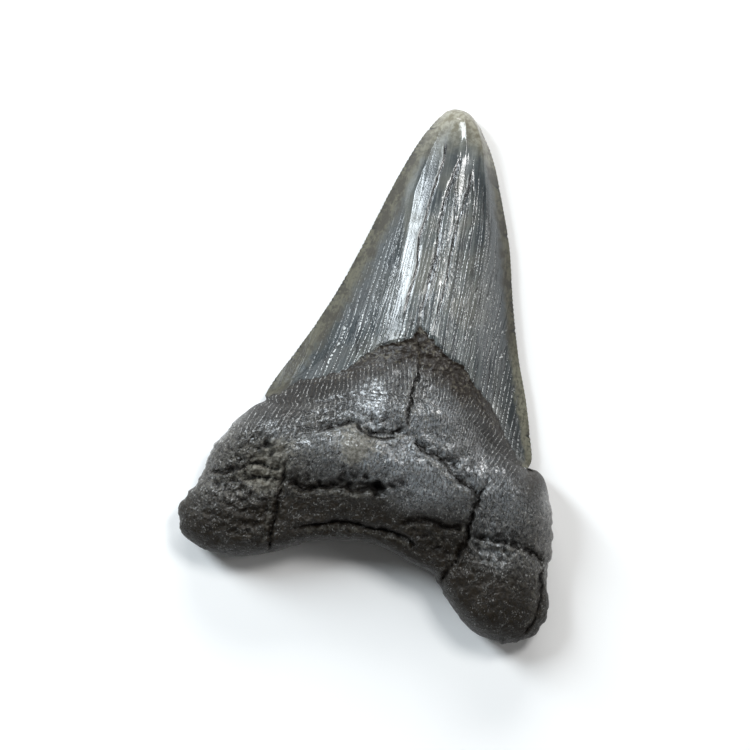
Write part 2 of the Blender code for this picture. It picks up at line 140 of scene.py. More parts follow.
# Breaks in the root: a route, its depth, how wide it opens to the left and to the right of the route, the
# ledge on its left (on its right if negative) and how far that ledge reaches
BREAK_ENDS = 0.12  # share of the way in which a break fades at each end
LIP_AWAY, LIP_WIDTH = 0.9, 0.6  # of the pale lip on a break's right: dust with painted light on it
BREAKS = {
    "upper_ledge": ([(-13.6, -15.8), (-11.0, -14.2), (-8.1, -12.6), (-7.2, -12.1), (-5.1, -12.9),
        (-4.0, -13.3), (-2.6, -13.5), (-0.9, -12.9), (1.8, -12.2)], 1.49, 0.77, 0.18, -0.9, 3.5),
    "chip": ([(-5.2, -12.2), (-3.9, -12.7), (-2.2, -12.4), (-0.9, -11.9),
        (1.0, -10.6)], 0.59, 0.63, 0.4, 0, 1),
    "upright_crack": ([(-0.8, 3.4), (-0.6, 2.6), (0.6, -0.3), (0.9, -2.8), (0.7, -5.1), (1.0, -8.7),
        (1.8, -12.2)], 0.85, 0.24, 0.11, -0.3, 2.5),
    "slanting_ledge": ([(1.8, -12.2), (4.0, -12.9), (6.6, -13.9), (8.9, -14.9), (10.7, -16.3),
        (13.2, -17.3), (14.6, -18.5)], 1.69, 0.91, 0.2, -0.9, 3.5),
    "right_gap": ([(15.6, -15.2), (14.8, -17.8), (14.4, -20.0), (14.5, -22.1), (14.7, -25.3),
        (13.9, -28.4), (13.0, -31.1), (12.4, -33.6)], 1.69, 0.15, 0.4, 0.2, 3),
    "right_step": ([(14.5, -24.5), (17.2, -24.3), (20.7, -24.0), (24.1, -24.2), (25.8, -24.9),
        (27.0, -26.3)], 1.69, 0.66, 0.2, -0.3, 3),
    "right_seam": ([(27.0, -26.3), (28.0, -29.8), (28.4, -34.0),
        (27.0, -37.4)], 0.59, 0.21, 0.24, 0.4, 1.5),
    "middle_crack": ([(-15.1, -23.6), (-13.2, -23.7), (-11.5, -24.1), (-9.8, -23.3), (-6.2, -22.0),
        (-3.9, -22.1), (-2.3, -20.9), (-0.6, -20.8), (2.5, -20.0)], 1.69, 1.05, 0.28, 0, 2),
    "left_gap": ([(-15.5, -20.6), (-15.1, -22.8), (-15.2, -25.9), (-15.0, -28.9), (-14.9, -32.4),
        (-14.0, -35.2)], 1.56, 0.32, 0.18, 0.2, 2.5),
    "left_step": ([(-27.7, -26.0), (-24.9, -24.8), (-22.3, -23.6), (-19.7, -21.8), (-18.2, -22.1),
        (-16.6, -22.0), (-15.3, -21.9)], 1.17, 0.39, 0.2, -0.3, 2.5),
    "left_branch": ([(-21.7, -25.8), (-20.1, -24.4), (-18.2, -23.9), (-16.1, -23.7),
        (-15.3, -23.3)], 0.91, 0.32, 0.2, -0.3, 1.5),
    "low_ledge": ([(-12.0, -30.3), (-8.6, -28.8), (-6.3, -27.7), (-3.6, -27.1), (0.0, -27.0),
        (3.6, -26.8), (6.2, -27.4), (8.6, -29.2)], 1.3, 0.35, 0.48, 0.9, 3),
    "low_crack": ([(3.6, -26.0), (5.5, -24.7), (7.9, -23.9), (9.8, -24.0), (12.1, -24.1),
        (14.2, -22.9)], 1.43, 0.63, 0.18, -0.5, 2.5),
}
LABIAL_BREAKS = {
    "middle": ([(-3.0, -6.0), (-1.5, -15.0), (-3.5, -22.0), (-2.0, -28.5)], 0.9, 0.3, 0.3, 0.2, 3.0),
    "left": ([(-13.0, -13.0), (-14.0, -20.0), (-12.5, -27.0),
        (-14.0, -34.0)], 1.0, 0.3, 0.3, -0.2, 3.0),
    "right": ([(12.0, -12.0), (13.0, -19.0), (11.5, -26.0), (12.4, -33.0)], 1.1, 0.3, 0.3, 0.3, 3.0),
    "left_step": ([(-27.6, -25.8), (-21.0, -24.0), (-13.4, -24.4)], 0.9, 0.3, 0.3, 0.3, 2.5),
    "right_step": ([(12.4, -24.2), (20.0, -25.4), (28.2, -24.6)], 0.9, 0.3, 0.3, -0.3, 2.5),
}
CROWN_CRACKS = {
    "middle": ([(-1.5, 32.8), (-1.9, 27.7), (-2.1, 24.4), (-1.7, 19.6), (-1.3, 16.5), (-1.3, 11.6),
        (-1.2, 7.6), (-0.8, 4.6)], 0.35, 0.13, 0.2, 0.06, 1.5),
    "left": ([(-4.5, 34.3), (-4.0, 31.5), (-4.1, 28.5), (-4.3, 25.2), (-4.3, 21.0), (-4.5, 18.1),
        (-3.7, 13.8), (-3.7, 8.6), (-3.9, 4.5)], 0.28, 0.18, 0.12, -0.12, 3.0),
    "right": ([(0.7, 30.5), (0.9, 27.6), (0.7, 20.3), (1.1, 13.9), (1.3, 9.1),
        (1.2, 5.1)], 0.2, 0.14, 0.14, 0.05, 1.5),
}
CROWN_CRACK_TOP = (27.0, 35.0)  # from where to where their relief fades out

# How the crown's cracks are coloured: half the dark line's width where it is widest, and the level of the
# noise from which the painted highlight on the crest beside it shows
CRACK_LINES = {"middle": (0.46, 0.52), "left": (0.22, 0.30), "right": (0.20, 0.40)}
THIN_LINE = 0.13  # half the dark line's width where it is narrowest
CREST_AWAY = 0.34  # from the crack to its crest, on the right

# The facet on the crown's left, which is almost clear of lines: where its middle is across the tooth at one
# height, how far that leans to the left for each millimetre up, and where it starts
FACET_ACROSS = -4.8
FACET_UP = 52.4
FACET_LEAN = 0.237
FACET_RISE = (44.0, 50.0)

# Pits: (x, y), radius, depth
PITS = [
    ((-0.9, -20.3), 0.75, 1.3), ((-0.3, -21.2), 0.6, 1.1), ((-3.0, -19.7), 0.5, 0.6),
    ((1.3, -19.8), 0.5, 0.6), ((2.7, -19.1), 0.5, 0.5), ((4.3, -20.3), 0.6, 0.5),
    ((0.1, -17.9), 0.5, 0.4), ((-5.1, -21.2), 0.4, 0.4), ((-19.1, -18.7), 0.6, 0.7),
    ((-19.7, -20.0), 0.6, 0.6), ((-18.1, -19.9), 0.6, 0.5),
]

# Patches over which smaller pits are scattered: (x, y), (half width, half height), how many
PITTED = [
    ((-2.5, -20.0), (4.5, 1.8), 40), ((-11.0, -22.6), (3.5, 1.0), 14), ((-18.8, -20.0), (3.0, 2.4), 26),
    ((-21.0, -25.5), (4.0, 3.0), 22), ((8.0, -14.0), (5.0, 1.6), 16), ((-2.0, -11.6), (3.0, 1.2), 14),
    ((18.0, -25.6), (3.5, 1.6), 16), ((-17.5, -31.0), (3.0, 3.0), 12), ((9.5, -26.5), (3.5, 2.0), 14),
]

ENAMEL_RIM = [
    (-21.6, -12.0), (-18.9, -10.4), (-16.8, -8.0), (-13.9, -6.8), (-11.8, -5.4), (-9.7, -4.0),
    (-8.0, -1.5), (-5.7, 0.6), (-3.0, 2.1), (-1.9, 2.8), (-0.8, 4.8), (0.3, 4.1), (2.1, 3.0),
    (4.6, 1.4), (7.2, 0.5), (9.5, -1.6), (12.1, -3.4), (14.3, -5.5), (15.7, -7.2), (17.5, -9.2),
    (19.1, -10.9), (21.4, -12.2), (24.0, -11.0),
]
BAND_FOOT = [
    (-21.4, -12.3), (-18.8, -10.8), (-16.7, -8.5), (-13.8, -7.4), (-11.2, -6.4), (-8.8, -5.4), (-6.6, -3.9),
    (-2.3, -1.7), (-0.4, -1.4), (3.6, -2.4), (6.8, -4.1), (9.9, -5.1), (13.2, -6.9), (17.0, -9.6),
    (20.8, -12.4), (24.0, -11.2),
]
LABIAL_RIM = [
    (-21.6, -12.0), (-16.0, -11.5), (-10.0, -8.0), (-4.0, -2.6), (-0.5, -1.4), (3.0, -2.8), (9.0, -8.0),
    (15.5, -11.5), (21.4, -12.2),
]
LABIAL_STEP = 0.35

# Places where the bone is rougher: (x, y), radius, strength
ROUGH = [
    ((-0.5, -20.4), 4.0, 1.0), ((-6.5, -21.5), 3.2, 0.8), ((-12.0, -22.5), 2.5, 0.5),
    ((-18.8, -20.0), 3.6, 0.9), ((-20.0, -25.0), 5.0, 0.9), ((-22.0, -31.0), 5.0, 0.6),
    ((-17.5, -30.0), 3.5, 0.7), ((-3.5, -12.2), 2.6, 0.9), ((6.0, -12.6), 3.0, 0.6),
    ((10.6, -16.0), 2.6, 0.7), ((9.0, -25.5), 3.5, 0.7), ((19.5, -25.5), 4.0, 0.9),
    ((16.5, -21.0), 3.0, 0.7), ((22.0, -33.0), 5.0, 0.2), ((13.5, -31.0), 4.0, 0.4),
    ((-12.5, -13.0), 2.4, 0.6), ((-6.0, -30.5), 6.0, 0.5),
]

# Places where pale sediment has stayed: (x, y), radius, strength
MUD = [
    ((-18.0, -21.0), 3.4, 0.8), ((-20.0, -23.4), 3.0, 0.5), ((-17.4, -23.6), 2.2, 0.8),
    ((-16.6, -18.6), 2.2, 0.5), ((-6.5, -14.4), 2.6, 0.9), ((-5.6, -16.8), 2.2, 0.6),
    ((-3.2, -14.8), 2.4, 0.5), ((4.0, -9.0), 4.5, 0.35), ((9.5, -26.2), 3.0, 0.3),
    ((12.6, -18.4), 2.0, 0.4),
]

# Places where the bone is polished and paler, the paler blue partly painted sheen: (x, y), radius, strength
POLISHED = [
    ((-5.0, -8.2), 4.0, 1.0), ((4.6, -7.6), 5.0, 1.0), ((-1.8, -15.5), 4.6, 1.0),
    ((4.0, -16.6), 4.2, 1.0), ((8.5, -18.5), 4.0, 0.8), ((-9.4, -15.6), 4.5, 0.7),
    ((-17.8, -16.2), 3.2, 0.6), ((17.5, -17.0), 5.5, 0.8), ((19.0, -26.0), 3.5, 0.6),
    ((13.5, -13.0), 4.5, 0.5),
]

# --- The mesh ------------------------------------------------------------------------------------------

STEPS = (250, 308)  # of the lingual sheet, across and along; the labial sheet has half as many
CROWDING = 0.45  # how much closer together the steps are at the rim
SERRATION_PITCH = 0.72
SERRATION_DEPTH = 0.13
NOTCH_PITCH = 1.7
NOTCH_DEPTH = 0.20
NOTCH_FADE = 0.35  # how far in from the edge the serrations and notches push the surface
CHIP_DEPTH = 0.45
CHIP_FADE = 1.2
LENGTH = 85.0  # of the growth lines, from arch to tip
FLOW_WIDTH = 43.0  # the tooth's width where the growth lines have their own spacing
FLOW_HOLD = 0.45  # how far they hold it where the tooth is narrower, from 0 to 1
PLAN_SHRINK = 0.9996  # keeps the finished surface inside the solid's box
FAR = 50.0  # from the crown's cracks, for the face that doesn't have them


def smoothstep(low, high, value):
    t = np.clip((value - low) / (high - low), 0.0, 1.0)
    return t * t * (3.0 - 2.0 * t)


def smooth_route(points, per_span=12):
    """A Catmull-Rom curve through the points."""
    p = np.array(points, float)
    p = np.vstack([2 * p[0] - p[1], p, 2 * p[-1] - p[-2]])
    t = np.linspace(0.0, 1.0, per_span, endpoint=False)[:, None]
    spans = []
    for a, b, c, d in zip(p[:-3], p[1:-2], p[2:-1], p[3:]):
        square, cube = 2 * a - 5 * b + 4 * c - d, 3 * b - a - 3 * c + d
        spans.append(0.5 * (2 * b + (c - a) * t + square * t**2 + cube * t**3))
    return np.vstack(spans + [p[-2:-1]])


def route_length(route):
    return np.concatenate([[0.0], np.cumsum(np.linalg.norm(np.diff(route, axis=0), axis=1))])


def along(points, shares):
    route = smooth_route(points)
    length = route_length(route)
    at = np.asarray(shares) * length[-1]
    return np.stack([np.interp(at, length, route[:, 0]), np.interp(at, length, route[:, 1])], axis=-1)


def side(root, crown, v):
    on_root = along(root, np.clip(v / SHOULDER, 0.0, 1.0))
    on_crown = along(crown, np.clip((v - SHOULDER) / (1.0 - SHOULDER), 0.0, 1.0))
    return np.where((v < SHOULDER)[..., None], on_root, on_crown)


def patch(u, v):
    """The plan place of a point, from left (u = 0) to right and from the root's arch (v = 0) to the tip."""
    bottom, top = along(ROOT_ARCH, u), along(TIP_ARC, u)
    left, right = side(LEFT_ROOT, LEFT_CROWN, v), side(RIGHT_ROOT, RIGHT_CROWN, v)
    a, b = np.array(ROOT_ARCH[0]), np.array(ROOT_ARCH[-1])
    c, d = np.array(TIP_ARC[0]), np.array(TIP_ARC[-1])
    u, v = u[..., None], v[..., None]
    sides = (1 - v) * bottom + v * top + (1 - u) * left + u * right
    return sides - ((1 - u) * (1 - v) * a + u * (1 - v) * b + (1 - u) * v * c + u * v * d)


def outline():
    left = np.vstack([smooth_route(LEFT_ROOT), smooth_route(LEFT_CROWN)])
    right = np.vstack([smooth_route(RIGHT_ROOT), smooth_route(RIGHT_CROWN)])
    ring = np.vstack([left, smooth_route(TIP_ARC), right[::-1], smooth_route(ROOT_ARCH)[::-1]])
    return np.vstack([ring, ring[:1]])


def near_route(xy, route, reach=1e9):
    """Distance to a route, the side of it (+1 left) and the share of the way along, within reach."""
    gap = np.full(len(xy), 1e3)
    hand = np.ones(len(xy))
    share = np.zeros(len(xy))
    low, high = route.min(axis=0) - reach, route.max(axis=0) + reach
    near = np.flatnonzero(((xy > low) & (xy < high)).all(axis=1))
    p, best = xy[near], np.full(len(near), 1e3)
    got_hand, got_share = np.ones(len(near)), np.zeros(len(near))
    for i, (a, b) in enumerate(zip(route[:-1], route[1:])):
        run = b - a
        off = p - a
        t = np.clip(off @ run / max(float(run @ run), 1e-9), 0.0, 1.0)
        away = np.hypot(off[:, 0] - t * run[0], off[:, 1] - t * run[1])
        closer = away < best
        best[closer] = away[closer]
        got_hand[closer] = np.sign(run[0] * off[closer, 1] - run[1] * off[closer, 0])
        got_share[closer] = (i + t[closer]) / (len(route) - 1)
    gap[near], hand[near], share[near] = best, got_hand, got_share
    return gap, hand, share


def above_route(xy, points):
    gap, hand, _ = near_route(xy, smooth_route(points, 6))
    return gap * hand


def bumps(xy, size, seed):
    """Gradient noise between about -1 and 1, with bumps of the given size."""
    turn = np.random.default_rng(seed).uniform(0.0, 2 * math.pi, (256, 256))
    p = xy / size + 64.0
    i = np.floor(p).astype(int)
    f = p - i
    fade = f * f * f * (f * (f * 6 - 15) + 10)
    total = 0.0
    for dx in (0, 1):
        for dy in (0, 1):
            angle = turn[(i[:, 0] + dx) % 256, (i[:, 1] + dy) % 256]
            slope = np.cos(angle) * (f[:, 0] - dx) + np.sin(angle) * (f[:, 1] - dy)
            weight = np.abs(1 - dx - fade[:, 0]) * np.abs(1 - dy - fade[:, 1])
            total = total + slope * weight
    return total * 1.6


def grain(xy, size, octaves, seed):
    """Noise at several sizes, each half as large and half as high as the last."""
    return sum(bumps(xy, size / 2**k, seed + k) / 2**k for k in range(octaves))


def wander(xy, size, reach, seed):
    """Places moved about by noise, so that what follows them is ragged."""
    return xy + reach * np.column_stack([bumps(xy, size, seed), bumps(xy, size, seed + 1)])


def breaks(xy, table, raggedness=1.0):
    """The height that cracks and ledges add, the distance to a crack and the closeness of its lip."""
    height, nearest, lip = np.zeros(len(xy)), np.full(len(xy), 9.0), np.zeros(len(xy))
    ragged = wander(wander(xy, 1.6, 0.32 * raggedness, 31), 0.6, 0.12 * raggedness, 33)
    breadth = 1.0 + 0.6 * raggedness * bumps(xy, 2.2, 35)
    for points, depth, left, right, ledge, reach in table.values():
        gap, hand, share = near_route(ragged, smooth_route(points, 5), 12.0)
        fade = smoothstep(0.0, BREAK_ENDS, share) * smoothstep(1.0, 1.0 - BREAK_ENDS, share)
        crack = np.exp(-gap / (np.where(hand > 0, left, right) * breadth)) * (0.3 + 0.7 * fade)
        height -= depth * crack
        raised = smoothstep(-0.25, 0.25, gap * hand * np.sign(ledge)) * np.exp(-gap / reach)
        height += abs(ledge) * raised * fade
        nearest = np.minimum(nearest, gap + 1.2 * (1.0 - fade))
        lip = np.maximum(lip, fade * (hand < 0) * np.exp(-(((gap - LIP_AWAY) / LIP_WIDTH) ** 2)))
    return height, nearest, lip


def lumps(xy, table):
    height = np.zeros(len(xy))
    for centre, (long, wide), turn, rise in table:
        c, s = math.cos(math.radians(turn)), math.sin(math.radians(turn))
        off = xy - np.array(centre)
        a = (off[:, 0] * c + off[:, 1] * s) / long
        b = (off[:, 1] * c - off[:, 0] * s) / wide
        height += rise * np.exp(-((a * a + b * b) ** 1.3))
    return height


def all_pits():
    rng = np.random.default_rng(71)
    small = []
    for (x, y), (wide, high), count in PITTED:
        for across, up, size in rng.uniform(-1.0, 1.0, (count, 3)):
            radius = 0.34 + 0.12 * size
            small.append(((x + wide * across, y + high * up), radius, 1.1 * radius))
    return PITS + small


def spots(xy, table):
    """A sum of soft round spots, each (centre), radius, strength."""
    return sum(s * np.exp(-((np.hypot(*(xy - np.array(c)).T) / r) ** 2)) for c, r, s in table)


def spine(table, y):
    route = smooth_route(table)[::-1]
    return np.interp(y, route[:, 0], route[:, 1])


def rim_height(v):
    crown = np.interp(v, [SHOULDER, 1.0], [CROWN_RIM_HEIGHT, TIP_RIM_HEIGHT])
    return crown + (ROOT_RIM_HEIGHT - crown) * smoothstep(SHOULDER + 0.012, SHOULDER - 0.05, v)


def widths(v):
    rows = np.linspace(0.0, 1.0, 400)
    left, right = side(LEFT_ROOT, LEFT_CROWN, rows), side(RIGHT_ROOT, RIGHT_CROWN, rows)
    return np.interp(v, rows, np.linalg.norm(right - left, axis=1))


def ridge_drop(off, half):
    """How far the crown's back falls beside its ridge: a facet on the left, an even curve on the right."""
    start = np.minimum(0.31 * half, FACET_START)
    t = np.clip(-off - start + 0.5, 0.0, 1.0)
    facet = t**3 - t**4 / 2 + np.maximum(-off - start - 0.5, 0.0)
    left = RIDGE_SLOPE * np.maximum(-off, 0.0) + (FACET_SLOPE - RIDGE_SLOPE) * facet
    r = np.maximum(off, 0.0)
    curve = 0.5 * FACET_SLOPE / RIGHT_CURVE * np.minimum(r, RIGHT_CURVE) ** 2
    return left + curve + FACET_SLOPE * np.maximum(r - RIGHT_CURVE, 0.0)


def edge_shapes(u, v, gap, drop):
    """How much of its full height each face has, 0 at the rim. drop is the whole fall to the rim."""
    across = 1.0 - np.abs(2.0 * u - 1.0)
    half = widths(v) / 2
    off = (2.0 * u - 1.0) * half
    start = np.minimum(0.6 * half, FLANK_START)
    t = np.clip((np.abs(off) - start) / (half - start), 0.0, 1.0)
    flank = 0.35 * smoothstep(0.0, 1.0, t) + 0.65 * t**1.1
    rest = drop - ridge_drop(np.sign(off) * half, half)
    dome = 1.0 - (ridge_drop(off, half) + rest * flank) / drop
    plate = 1.0 - (1.0 - across) ** 4.0
    tip = np.sqrt(1.0 - (1.0 - np.clip((1.0 - v) * CROWN_LENGTH / TIP_EDGE_RADIUS, 0.0, 1.0)) ** 2)
    radius = np.interp(v, [SHOULDER - 0.12, SHOULDER], [ROOT_EDGE_RADIUS, SHOULDER_EDGE_RADIUS])
    radius += (ARCH_EDGE_RADIUS - radius) * smoothstep(0.15, 0.0, v) * np.sin(math.pi * u)
    rounded = np.sqrt(1.0 - (1.0 - np.clip(gap / radius, 0.0, 1.0)) ** 2)
    inside = smoothstep(0.0, ROOT_RISE, gap)
    rootness = smoothstep(SHOULDER + 0.012 + 0.13 * inside, SHOULDER - 0.03 - 0.06 * inside, v)
    return dome * tip + (rounded - dome * tip) * rootness, plate * tip + (rounded - plate * tip) * rootness


def flow_lines(u, v):
    """Millimetres across and along the growth lines, which close up less towards the tip than the sides."""
    width = widths(v)
    return (u - 0.5) * width * (FLOW_WIDTH / width) ** FLOW_HOLD, v * LENGTH


def crowd(t):
    return t - CROWDING * np.sin(2 * math.pi * t) / (2 * math.pi)


def blank_sheet(across, up, level):
    """A flat grid whose x and y are the patch's shares, at the given level, with its rim at 0."""
    bm = bmesh.new()
    bmesh.ops.create_grid(bm, x_segments=across, y_segments=up, size=0.5)
    for vert in bm.verts:
        vert.co.z = 0.0 if vert.is_boundary else level
    return bm


def share_mesh():
    """Both sheets in the patch's shares, joined at the rim. The labial sheet takes the finer rim."""
    top = blank_sheet(*STEPS, 0.1)
    under = blank_sheet(STEPS[0] // 2, STEPS[1] // 2, -0.1)
    for edge in [e for e in under.edges if e.is_boundary]:
        bmesh.utils.edge_split(edge, edge.verts[0], 0.5)
    bmesh.ops.reverse_faces(under, faces=under.faces)
    mesh = bpy.data.meshes.new("tooth_fossil")
    under.to_mesh(mesh)
    top.from_mesh(mesh)
    under.free()
    bmesh.ops.remove_doubles(top, verts=[v for v in top.verts if abs(v.co.z) < 0.05], dist=1e-5)
    rim = [e for e in top.edges if all(abs(abs(v.co.x) - 0.5) < 1e-5 for v in e.verts)]
    for edge in rim:
        if min(v.co.y for v in edge.verts) > SHOULDER - 0.5:
            bmesh.utils.edge_split(edge, edge.verts[0], 0.5)
    top.to_mesh(mesh)
    top.free()
    return mesh


def worn_serrations(u, v):
    """How far the cutting edges are notched."""
    on_crown = smoothstep(SHOULDER + 0.012, SHOULDER + 0.03, v) * smoothstep(1.0, 0.97, v)
    at = v * LENGTH * 1.02
    noise_row = np.where(u < 0.5, 0.0, 37.0)  # so that the two edges differ
    line = np.column_stack([at, noise_row + 0.5])
    phase = at / SERRATION_PITCH + 0.35 * bumps(line, 2.0, 5)
    teeth = 0.5 - 0.5 * np.cos(2 * math.pi * phase)
    worn = smoothstep(-0.5, 0.5, bumps(line, 3.5, 7))
    notch = smoothstep(0.35, 0.85, bumps(line + 9.0, NOTCH_PITCH / 2, 9))
    return (SERRATION_DEPTH * teeth * (0.35 + 0.65 * worn) + NOTCH_DEPTH * notch) * on_crown


def rim_notches(u, v, xy, gap):
    """How far serrations on the crown and chips on the root push the surface in, with the notches alone."""
    notches = worn_serrations(u, v)
    below_crown = smoothstep(SHOULDER - 0.03, SHOULDER - 0.10, v)
    chips = CHIP_DEPTH * np.clip(grain(xy, 1.7, 2, 67) + 0.3, 0.0, 1.0) * below_crown
    return notches * np.exp(-gap / NOTCH_FADE) + chips * np.exp(-gap / CHIP_FADE), notches


def lingual_face(xy, across, up):
    """The height of the domed face at full height, and what its material needs to know of it."""
    x, y = xy[:, 0], xy[:, 1]
    above_rim = above_route(wander(xy, 1.1, 0.28, 41), ENAMEL_RIM)
    above_foot = above_route(wander(xy, 2.2, 0.5, 43), BAND_FOOT)
    on_root = smoothstep(0.4, -0.6, above_foot)
    enamel = smoothstep(-0.2, 0.2, above_rim)
    band = (1.0 - enamel) * (1.0 - on_root)
    root_fall = ROOT_SIDE_FALL * smoothstep(0.0, -20.0, y) * (x / ROOT_HALF_WIDTH) ** 2
    height = spine(LINGUAL_SPINE, y) - root_fall + lumps(xy, LINGUAL_LUMPS)
    height -= BAND_DEPTH * smoothstep(0.3, -0.3, above_rim) * (1.0 - on_root)
    away, _, share = near_route(xy, smooth_route(TIP_RIDGE, 8), 6.0)
    height += TIP_RIDGE_HEIGHT * np.exp(-away / 0.7) * smoothstep(1.0, 0.4, share)

    # cracks, ledges and pits
    root_break, to_break, lip = breaks(xy, BREAKS)
    crown_break, _, _ = breaks(xy, CROWN_CRACKS, 0.4)
    height += root_break + crown_break * enamel * smoothstep(CROWN_CRACK_TOP[1], CROWN_CRACK_TOP[0], y)
    pitted = spots(wander(xy, 0.8, 0.2, 51), all_pits())
    height -= pitted

    # bone, which is rougher in places, and the wrinkles where it starts
    wrinkled = smoothstep(-7.5, -2.5, above_foot) * smoothstep(1.6, -0.4, above_foot)
    wrinkled *= smoothstep(22.0, 16.0, x)
    rough = np.clip(spots(wander(xy, 3.0, 1.0, 53), ROUGH), 0.0, 1.0)
    coarse = 0.34 * grain(xy, 1.2, 2, 15) - 0.5 * np.abs(bumps(xy, 1.8, 17))
    bone = 0.07 * grain(xy, 2.4, 3, 13) + rough * coarse
    height += on_root * (0.40 * bumps(xy, 5.5, 11) + bone * (1.0 - 0.6 * wrinkled))
    height += band * 0.16 * grain(xy, 1.1, 3, 19)
    height += 0.09 * wrinkled * bumps(np.column_stack([across, up * 0.12]), 0.8, 23)

    # the enamel's growth lines, which the facet has least of
    from_facet = np.abs(across - FACET_ACROSS + FACET_LEAN * (up - FACET_UP))
    on_facet = smoothstep(2.6, 1.4, from_facet) * smoothstep(*FACET_RISE, up)
    relief = (0.012 + 0.025 * smoothstep(26.0, 4.0, y)) * (1.0 - 0.8 * on_facet)
    flow = np.column_stack([across, up * 0.16])
    height += enamel * relief * (bumps(flow, 1.5, 25) + 0.5 * bumps(flow, 0.8, 27))
    polish = np.minimum(spots(wander(xy, 4.0, 1.5, 55), POLISHED), 1.0)
    return height, {
        "rim_mm": above_rim, "foot_mm": above_foot, "break_mm": to_break, "lip": lip, "polish": polish,
        "mud": spots(xy, MUD), "pit": np.minimum(pitted, 1.0), "wrinkled": wrinkled, "rough": rough,
    }


def labial_face(xy, across, up):
    """The same for the flat face underneath, where what is dug out goes up."""
    above_rim = above_route(wander(xy, 1.1, 0.25, 45), LABIAL_RIM)
    on_root = smoothstep(0.3, -0.3, above_rim)
    height = spine(LABIAL_SPINE, xy[:, 1]) + lumps(xy, LABIAL_LUMPS)
    root_break, to_break, _ = breaks(xy, LABIAL_BREAKS)
    height += on_root * (LABIAL_STEP + 0.3 * bumps(xy, 5.5, 61) + 0.14 * grain(xy, 2.2, 3, 63))
    height -= root_break * on_root
    height += (1.0 - on_root) * 0.05 * bumps(np.column_stack([across, up * 0.16]), 1.6, 65)
    kept = {"rim_mm": above_rim, "foot_mm": above_rim + 0.4, "break_mm": to_break}
    return height, kept | {"polish": 0.2, "rough": 0.3}


def crack_lines(xy, lingual):
    """Where each of the crown's cracks is, for its dark line and the painted highlight on its crest."""
    lines = {}
    moved = wander(xy, 1.6, 0.16, 57)
    for name, (points, *_) in CROWN_CRACKS.items():
        away, hand, share = near_route(moved, smooth_route(points, 6), 6.0)
        lines[name + "_line_mm"] = np.where(lingual, away * hand, FAR)
        lines[name + "_line_share"] = smoothstep(0.0, 0.06, share) * smoothstep(1.0, 0.9, share)
        lines[name + "_line_along"] = share
    return lines


def over_solid(place):
    """The places moved so that the middle of their box is over the middle of the solid's box."""
    low, high = (np.array(corner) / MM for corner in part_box("tooth"))
    middle = (place.min(axis=0) + place.max(axis=0)) / 2
    place[:, :2] += (low + high)[:2] / 2 - middle[:2]
    return place


def build_tooth():
    mesh = share_mesh()
    co = np.empty(len(mesh.vertices) * 3, np.float32)
    mesh.vertices.foreach_get("co", co)
    co = co.reshape(-1, 3).astype(float)
    shares = np.clip(np.round(co[:, :2] + 0.5, 6), 0.0, 1.0)
    on_rim = np.abs(co[:, 2]) < 0.05
    lingual = co[:, 2] > -0.05
    u, v = crowd(shares[:, 0]), crowd(shares[:, 1])
    xy = patch(u, v)
    gap, _, _ = near_route(xy, outline())
    gap[on_rim] = 0.0

    push, notches = rim_notches(u, v, xy, gap)
    inward = patch(np.full_like(u, 0.5), v) - xy
    inward /= np.maximum(np.linalg.norm(inward, axis=1), 1e-6)[:, None]
    plan = xy + inward * push[:, None]

    rim = rim_height(v)
    up_share, down_share = edge_shapes(u, v, gap, spine(LINGUAL_SPINE, xy[:, 1]) - rim)
    across, up = flow_lines(u, v)
    top, on_top = lingual_face(xy, across, up)
    under, on_under = labial_face(xy, across, up)
    z = np.where(lingual, rim + (top - rim) * up_share, rim + (under - rim) * down_share)
    place = over_solid(np.column_stack([plan * PLAN_SHRINK, np.maximum(z, 0.0)]))
    mesh.vertices.foreach_set("co", (place * MM).astype(np.float32).ravel())

    strip = np.where(u < 0.5, 0.65, 1.15)  # the brown strip along the edge is wider on the left
    off_crown = 20.0 * smoothstep(SHOULDER, SHOULDER - 0.03, v)
    kept = {name: np.where(lingual, values, on_under.get(name, 0.0)) for name, values in on_top.items()}
    kept |= crack_lines(xy, lingual)
    kept["edge_mm"] = np.where(v > SHOULDER, gap * strip, off_crown + gap)
    kept["notch"] = notches / (SERRATION_DEPTH + NOTCH_DEPTH) * np.exp(-gap / 0.7)
    kept["across_mm"], kept["along_mm"] = across, up
    for name, values in kept.items():
        layer = mesh.attributes.new(name, "FLOAT", "POINT")
        layer.data.foreach_set("value", np.asarray(values, np.float32))
    mesh.update()
    mesh.shade_smooth()
    tooth = bpy.data.objects.new("tooth_fossil", mesh)
    bpy.context.scene.collection.objects.link(tooth)
    return tooth


# --- The material --------------------------------------------------------------------------------------


